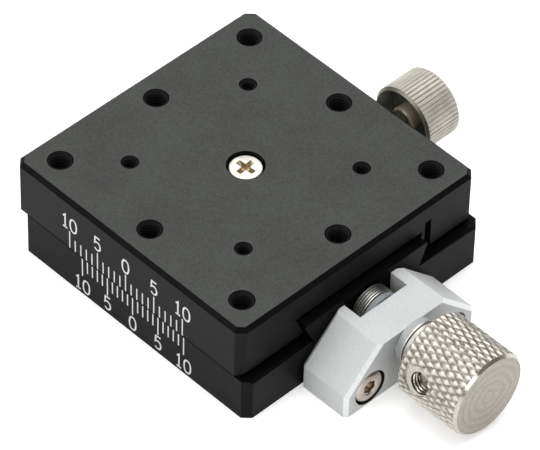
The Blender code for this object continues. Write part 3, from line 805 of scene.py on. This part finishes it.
sleeve = threaded_bore(
    set_screw_radius, set_screw_crest, low=0.0040, high=flat_level - 0.00003, pitch=m3_pitch, mouth=0.00012,
)
piece("set_screw_thread", sleeve, "feed", [bore_steel, greased_steel], set_screw_aim, choose=bore_groove)


# Screws
socket_reach = 0.0015 / 2 / math.cos(math.radians(30))
socket_depth = 0.0012
shank_radius = 0.00125
hexagon = [round_point(socket_reach, math.radians(60 * i)) for i in range(6)]


def socket_set_screw(radius, foot, top, edge):
    """A headless screw with a hexagon socket."""
    body = turned([
        (0, foot), (radius - edge, foot), (radius, foot + edge),
        (radius, top - edge), (radius - edge, top), (0, top),
    ])
    return carved(body, prism(hexagon, top - socket_depth, top + beyond, 0.94))


screw = socket_set_screw(radius=0.0014, foot=0.00195, top=0.00435, edge=0.0002)
piece("knob_socket_screw", screw, "feed", bright_screw_steel, set_screw_aim, ["knob_set_screw"])

for side in ("left", "right"):
    node = "gib_screw_" + side
    low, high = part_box(node)
    seat = ((low.x + high.x) / 2, plate_half, (low.z + high.z) / 2)
    screw = socket_set_screw(radius=0.00148, foot=low.y - plate_half, top=high.y - plate_half, edge=0.0003)
    piece("gib_socket_screw_" + side, screw, "table", screw_steel, along(seat, facing_y), [node])

# Flat head with a cross recess, sunk in the middle of the table
sink = 0.00035
head_radius = 0.002075
head_height = 0.0016
arm = 0.00041
arm_reach = 0.00142
quarter = [(arm, arm_reach), (arm, arm), (arm_reach, arm)]
cross = []
for _ in range(4):
    cross += quarter
    quarter = [(y, -x) for x, y in quarter]
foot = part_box("nut_screw")[0].z - stage_top
head_profile = [
    (0, foot), (shank_radius, foot), (shank_radius, -sink - head_height),
    (head_radius, -sink - head_height), (head_radius, -sink - 0.00014),
    (head_radius - 0.00004, -sink - 0.00005), (head_radius - 0.00014, -sink), (0, -sink),
]
dimple_reach = 0.00076
dimple = [(dimple_reach, 0), (0, dimple_reach), (-dimple_reach, 0), (0, -dimple_reach)]
nut_screw_mesh = carved(
    turned(head_profile, fine_steps),
    prism(cross, -sink - 0.0009, -sink + 0.0001, 0.50),
    prism(dimple, -sink - 0.0013, -sink + 0.0001, 0.4),
)


def cross_recess(face):
    """The inside of the recess."""
    inside = math.hypot(face.center.x - table_centre, face.center.y) < arm_reach
    return int(inside and face.center.z < stage_top - sink - slack)


nut_screw_place = along((table_centre, 0, stage_top), Matrix.Rotation(math.radians(3), 4, "Z"))
piece(
    "cross_recess_screw", nut_screw_mesh, "table", [head_steel, recess_steel],
    nut_screw_place, ["nut_screw"], choose=cross_recess,
)

# Low heads with a six-lobe socket, in the bracket's counterbores
lobe_reach = 0.00105
lobe_dip = 0.00018
lobe_steps = 72
head_sink = 0.00003
head_growth = 0.00006
lobed_head_height = 0.0015


def lobe_point(turn):
    """The socket's outline, with six dips."""
    return round_point(lobe_reach - lobe_dip * (0.5 - 0.5 * math.cos(6 * turn)), turn)


lobes = [lobe_point(math.tau * i / lobe_steps) for i in range(lobe_steps)]
for side in ("front", "back"):
    low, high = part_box("bracket_screw_" + side)
    radius = (high.y - low.y) / 2 + head_growth
    foot = low.x - bracket_face
    top = -head_sink
    profile = [
        (0, foot), (shank_radius, foot), (shank_radius, top - lobed_head_height),
        (radius, top - lobed_head_height), (radius, top - 0.0003), (radius - 0.00012, top - 0.00014),
        (radius - 0.00040, top), (lobe_reach + 0.00016, top), (lobe_reach + 0.00004, top - 0.00012),
        (0, top - 0.00012),
    ]
    screw = carved(turned(profile, fine_steps), prism(lobes, top - 0.0009, top + 0.0005, 0.86))
    seat = Vector((bracket_face, (low.y + high.y) / 2, (low.z + high.z) / 2))

    def lobe_recess(face):
        """The inside of the socket."""
        inside = math.hypot(face.center.y - seat.y, face.center.z - seat.z) < lobe_reach
        return int(inside and face.center.x < bracket_face + top - 0.00014)

    piece(
        "lobe_screw_" + side, screw, "base", [lobe_head_steel, lobe_steel], along(seat, facing_x),
        ["bracket_screw_" + side], choose=lobe_recess,
    )


# Feed screw and collar
screw_low, screw_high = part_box("feed_screw")
screw_radius = 0.0020
journal_radius = 0.0019
collar_low, collar_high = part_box("thrust_collar")
feed_pitch = 0.0005
feed_thread_depth = 0.00027
tip = 0.0004
run_out = 0.0002
feed_profile = (
    [(0, screw_low.x), (screw_radius - tip, screw_low.x)]
    + rows(screw_radius, screw_low.x + tip, collar_low.x - run_out, feed_pitch / 6)
    + [(screw_radius, collar_high.x), (journal_radius, collar_high.x)]
    + [(journal_radius, screw_high.x), (0, screw_high.x)]
)
feed_mesh = grown(
    rod_tree, turned(feed_profile, 36), thread_steel, Pitch=feed_pitch, Land=0.15, Crest_radius=screw_radius,
    Depth=feed_thread_depth, Start=screw_low.x - tip, End=collar_low.x - run_out / 2,
)
# Painted shade: the feed screw is near black all over, for its place in the dark channel
piece("threaded_feed_screw", feed_mesh, "feed", greased_steel, knob_place, ["feed_screw"])

collar_radius = (collar_high.z - collar_low.z) / 2
groove_count = 4
groove_pitch = (collar_high.x - collar_low.x) * 0.84 / groove_count
groove_depth = 0.00012
groove_foot = screw_radius + 0.0004
collar_edge = 0.0001
collar_bore = screw_radius + 0.00005
collar_profile = [(collar_bore, collar_low.x), (collar_radius - collar_edge, collar_low.x)]
for index in range(groove_count):
    land_start = collar_low.x + collar_edge + groove_pitch * index
    collar_profile += [
        (collar_radius, land_start), (collar_radius, land_start + groove_pitch * 0.50),
        (collar_radius - groove_depth, land_start + groove_pitch * 0.60),
        (collar_radius - groove_depth, land_start + groove_pitch * 0.90),
    ]
collar_profile += [
    (collar_radius, land_start + groove_pitch), (collar_radius, collar_high.x - slack),
    (collar_radius - slack, collar_high.x), (collar_bore, collar_high.x),
]


def collar_groove(face):
    """The grooves are near black, as painted shade."""
    from_axis = math.hypot(face.center.y, face.center.z - feed_height)
    return int(groove_foot < from_axis < collar_radius - slack and abs(face.normal.x) < 0.9)


piece(
    "grooved_collar", turned(collar_profile, fine_steps), "feed", [collar_steel, greased_steel], knob_place,
    ["thrust_collar"], choose=collar_groove,
)


# Clamp
clamp_low, clamp_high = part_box("clamp_knob")
clamp_centre = Vector(((clamp_low.x + clamp_high.x) / 2, 0, (clamp_low.z + clamp_high.z) / 2))
clamp_place = along(clamp_centre, facing_y)
rim, clamp_end = clamp_low.y, clamp_high.y
clamp_radius = 0.004725
clamp_edge = 0.00034
dish_radius = 0.00428
dish_floor = rim + 0.0031
hub_radius = 0.00178
stem_low, stem_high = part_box("clamp_screw")
stem_radius = 0.0015
flute_count = 51
flute_depth = 0.00015
flute_margin = 0.00003
flute_start = rim + clamp_edge + flute_margin
flute_end = clamp_end - clamp_edge - flute_margin
hub_start = rim + 0.0002
hub_edge = 0.00012
hub_fillet = 0.0002
dish_fillet = 0.0003
dish_edge = 0.0001
dish_back = rim + 0.005
rim_steps = ((clamp_edge, 0), (clamp_edge, 0.00004), (0.00022, 0.00014), (0.0001, 0.00026), (0, clamp_edge))
end_steps = ((0, clamp_edge), (0.0001, 0.00024), (0.0002, 0.00018), (clamp_edge, 0))
clamp_profile = (
    [(0, stem_high.y), (stem_radius, stem_high.y), (stem_radius, hub_start)]
    + [(hub_radius - hub_edge, hub_start), (hub_radius, hub_start + hub_edge)]
    + [(hub_radius, dish_floor - hub_fillet), (hub_radius + hub_fillet, dish_floor)]
    + [(dish_radius - dish_fillet, dish_floor), (dish_radius, dish_floor - dish_fillet)]
    + [(dish_radius, rim + dish_edge), (dish_radius + dish_edge, rim)]
    + [(clamp_radius - inset, rim + rise) for inset, rise in rim_steps]
    + rows(clamp_radius, flute_start + flute_margin, flute_end - flute_margin, 0.001)
    + [(clamp_radius - inset, clamp_end - drop) for inset, drop in end_steps]
    + [(0, clamp_end)]
)
clamp_mesh = grown(
    flute_tree, turned(clamp_profile, flute_count * 10), flute_steel, Count=float(flute_count), Land=0.68,
    Crest_radius=clamp_radius, Depth=flute_depth, Start=flute_start, End=flute_end,
)
clamp_end_steel = turned_face("clamp_end_steel", (0.46, 0.435, 0.39), 0.36, "Y", clamp_centre)


def clamp_dish(face):
    """The dish, its hub, the rim and the far end have finishes of their own."""
    from_axis = math.hypot(face.center.x - clamp_centre.x, face.center.z - clamp_centre.z)
    if face.center.y > clamp_end - slack:
        return 4
    if from_axis < hub_radius + slack and face.center.y < dish_back:
        return 2
    if face.center.y < rim + clamp_edge - slack:
        return 3 if from_axis > dish_radius + slack else 1
    return 1 if from_axis < dish_radius + slack and face.center.y < dish_back else 0


clamp_looks = [flute_steel, dish_steel, hub_steel, rim_steel, clamp_end_steel]
piece("fluted_clamp_knob", clamp_mesh, "clamp", clamp_looks, clamp_place, ["clamp_knob"], choose=clamp_dish)

stem_thread_end = plate_half + 0.0006
stem_tip = 0.0003
stem_edge = 0.0001
stem_profile = (
    [(0, stem_low.y), (stem_radius - stem_tip, stem_low.y)]
    + rows(stem_radius, stem_low.y + stem_tip, stem_thread_end, m3_pitch / 8)
    + [(stem_radius, stem_high.y - stem_edge), (stem_radius - stem_edge, stem_high.y), (0, stem_high.y)]
)
stem_mesh = grown(
    rod_tree, turned(stem_profile), thread_steel, Pitch=m3_pitch, Land=0.12, Crest_radius=stem_radius,
    Depth=0.00028, Start=stem_low.y - beyond, End=stem_thread_end - stem_edge,
)
piece("threaded_clamp_stem", stem_mesh, "clamp", stem_steel, clamp_place, ["clamp_screw"])


# Threads of the table's holes
def hole_threads(name, columns, lines, depth, **form):
    """The threads of the holes at each of these x and y, down to this depth."""
    sleeve = placed("sleeve", threaded_bore(low=-depth, high=0.0, **form))
    seats = bpy.data.meshes.new("seats")
    seats.from_pydata([(table_centre + x, y, stage_top) for x in columns for y in lines], [], [])
    mesh = grown(copy_tree, seats, thread_black, Piece=sleeve)
    bpy.data.objects.remove(sleeve)
    piece(name, mesh, "table", thread_black)


large = plate_half - 0.004
small = 0.010
m3_hole = {"radius": 0.0014, "crest": 0.00125, "pitch": m3_pitch, "mouth": 0.00025, "steps": 36}
m2_hole = {"radius": 0.0009, "crest": 0.00078, "pitch": 0.0004, "mouth": 0.00025, "steps": 30}
hole_threads("large_hole_threads", (-large, 0, large), (-large, large), 0.0078, **m3_hole)
hole_threads("middle_hole_threads", (-large, large), (0,), 0.0040, **m3_hole)
hole_threads("small_hole_threads", (-small, small), (-small, small), 0.0040, **m2_hole)


# Scale
ink_height = 0.00003
line_width = 0.00019
scale_count = 21
stroke_width = 0.00025
figure_top = 0.00106
zero_half_width = 0.00056
zero_steps = 28


def squared(share):
    """The share pushed outward a little, for a squarer oval."""
    return math.copysign(abs(share) ** 0.86, share)


zero = [
    (zero_half_width * squared(math.cos(a)), figure_top * squared(math.sin(a)))
    for a in (math.tau * i / zero_steps for i in range(zero_steps))
]
five = [(0.00046, figure_top), (-0.00038, figure_top), (-0.00045, 0.00008)]
five += [
    (-0.00003 + 0.00054 * math.cos(math.radians(a)), -0.00038 + 0.00068 * math.sin(math.radians(a)))
    for a in range(130, -146, -17)
]
one = [
    [(-0.00036, figure_top - 0.00036), (0, figure_top), (0, -figure_top)],
    [(-0.00040, -figure_top), (0.00040, -figure_top)],
]


def stroke(path, shift, closed=False):
    """One stroke of ink along the (x, z) path, on the plane y = 0."""
    count = len(path)
    path = [Vector(point) for point in path]
    points, faces = [], []
    for i, point in enumerate(path):
        ways = []
        if i or closed:
            ways.append(point - path[i - 1])
        if i + 1 < count or closed:
            ways.append(path[(i + 1) % count] - point)
        normals = [Vector((-way.y, way.x)).normalized() for way in ways]
        mitre = sum(normals, Vector((0, 0))) / (1 + normals[0].dot(normals[-1])) * (stroke_width / 2)
        if len(normals) == 1:
            mitre = normals[0] * (stroke_width / 2)
        for side, depth in ((1, 0), (1, 1), (-1, 1), (-1, 0)):
            spot = point + mitre * side + Vector(shift)
            points.append((spot.x, ink_height * (depth - 0.5), spot.y))
    for i in range(count if closed else count - 1):
        near, far = 4 * i, 4 * ((i + 1) % count)
        faces += [[near + k, near + (k + 1) % 4, far + (k + 1) % 4, far + k] for k in range(4)]
    if not closed:
        faces += [[0, 1, 2, 3], [4 * count - 4 + k for k in range(4)]]
    mesh = bpy.data.meshes.new("stroke")
    mesh.from_pydata(points, [], faces)
    return outward(mesh)


def figure(number):
    """The plain figures 0, 5 and 10."""
    if number == 5:
        return [stroke(five, (0, 0.00010))]
    if number == 0:
        return [stroke(zero, (0, 0), True)]
    return [stroke(path, (-0.00078, -0.00010)) for path in one] + [stroke(zero, (0.00068, -0.00010), True)]


def scale(body, centre, pitch, foot, short, long, down, figure_middle):
    """A plate's lines on its -Y side, and a figure at every fifth one."""
    lines = grown(
        line_tree, None, ink, Count=scale_count, Pitch=pitch, Short_height=short, Long_height=long,
        Line_width=line_width, Ink_height=ink_height, Down=down,
    )
    piece(body + "_scale_lines", lines, body, ink, Matrix.Translation((centre, -plate_half, foot)))
    figures = []
    for number in (-10, -5, 0, 5, 10):
        for mesh in figure(abs(number)):
            mesh.transform(Matrix.Translation((centre + number * pitch, -plate_half, figure_middle)))
            figures.append(mesh)
    piece(body + "_scale_figures", joined(*figures), body, ink)


scale(
    "table", centre=table_centre, pitch=0.0010, foot=table_underside + 0.00002,
    short=0.00190, long=0.00283, down=False, figure_middle=0.01072,
)
scale(
    "base", centre=0.0, pitch=0.0009, foot=split_height - 0.00012,
    short=0.00198, long=0.00298, down=True, figure_middle=0.00169,
)


# Floor, light and camera
floor_glow = 0.33
floor_half = 2.5
floor_outline = [(x * floor_half, y * floor_half) for x, y in ((-1, -1), (1, -1), (1, 1), (-1, 1))]
floor_mesh = prism(floor_outline, -0.01, 0)
floor = placed("floor", floor_mesh)
paper = Finish("floor_paper", (0.93,) * 3, 0.8, Specular_IOR_Level=0.1, Emission_Color=(1, 1, 1, 1))
fibre = paper.noise(0.002, 2.0)
paper.colour(paper.ramp(fibre, (0.3, (0.955, 0.955, 0.955)), (0.7, (0.965, 0.965, 0.965))))
ray = paper.add("ShaderNodeLightPath").outputs
seen = paper.reckon("ADD", ray["Is Camera Ray"], ray["Is Glossy Ray"])
seen = paper.reckon("ADD", seen, ray["Is Transmission Ray"], clamp=True)
paper.feed(paper.inputs["Emission Strength"], paper.reckon("MULTIPLY", seen, floor_glow))
floor_mesh.materials.append(paper.material)

world = bpy.data.worlds.new("studio")
bpy.context.scene.world = world
world.use_nodes = True
sky = Tree(world.node_tree)
direction = sky.add("ShaderNodeTexCoord").outputs["Generated"]
height = sky.add("ShaderNodeSeparateXYZ", direction).outputs[2]
shade = sky.add("ShaderNodeValToRGB", height)
for point, (position, value) in zip(
    [shade.color_ramp.elements[0], shade.color_ramp.elements[1]]
    + [shade.color_ramp.elements.new(0.5) for _ in range(3)],
    ((0.0, 0.64), (1.0, 0.55), (0.06, 0.58), (0.30, 0.34), (0.70, 0.40)),
):
    point.position = position
    point.color = (value, value, value * 1.01, 1)
back = world.node_tree.nodes["Background"]
sky.feed(back.inputs["Color"], shade.outputs[0])
back.inputs["Strength"].default_value = 0.9


def lamp(name, place, target, size, power, roll=0):
    """A soft box that faces its target, rolled by this many degrees."""
    light = bpy.data.lights.new(name, "AREA")
    light.shape = "RECTANGLE"
    light.size, light.size_y = size
    light.energy = power
    thing = placed(name, light)
    thing.location = place
    aimed = (Vector(target) - Vector(place)).to_track_quat("-Z", "Y").to_matrix()
    thing.rotation_euler = (aimed @ Matrix.Rotation(math.radians(roll), 3, "Z")).to_euler()


aim = (0.005, 0, 0.008)
lamp("overhead_box", (-0.10, 0.16, 0.70), aim, (0.90, 0.90), 4.65)
lamp("left_box", (-0.18, -0.57, 0.42), aim, (0.62, 0.62), 2.1)
lamp("rear_box", (-0.52, 0.34, 0.20), aim, (0.40, 0.30), 0.38)
lamp("edge_strip", (0.44, -0.137, 0.20), (0.04, 0, feed_height), (0.28, 0.085), 0.25, 38)

view_azimuth = math.radians(44.809)
view_elevation = math.radians(45.794)
view_roll = math.radians(1.593)
view_distance = 0.56296
view_shift = (0.002955, -0.007315)
focal_share = 4616.5 / 540
sensor_width = 36
backward = Vector((
    math.sin(view_azimuth) * math.cos(view_elevation),
    -math.cos(view_azimuth) * math.cos(view_elevation),
    math.sin(view_elevation),
))
right = Vector((math.cos(view_azimuth), math.sin(view_azimuth), 0))
upward = backward.cross(right)
rolled_right = right * math.cos(view_roll) + upward * math.sin(view_roll)
rolled_up = upward * math.cos(view_roll) - right * math.sin(view_roll)
camera_data = bpy.data.cameras.new("camera")
camera_data.sensor_fit = "HORIZONTAL"
camera_data.sensor_width = sensor_width
camera_data.lens = focal_share * sensor_width
camera_data.clip_start = 0.02
camera_data.clip_end = 20
camera = placed("camera", camera_data)
turn = Matrix((rolled_right, rolled_up, backward)).transposed()
eye = turn @ Vector((view_shift[0], view_shift[1], view_distance)) + Vector((table_centre, 0, stage_top))
camera.matrix_world = Matrix.Translation(eye) @ turn.to_4x4()
bpy.context.scene.camera = camera
bpy.context.scene.view_settings.view_transform = "Standard"
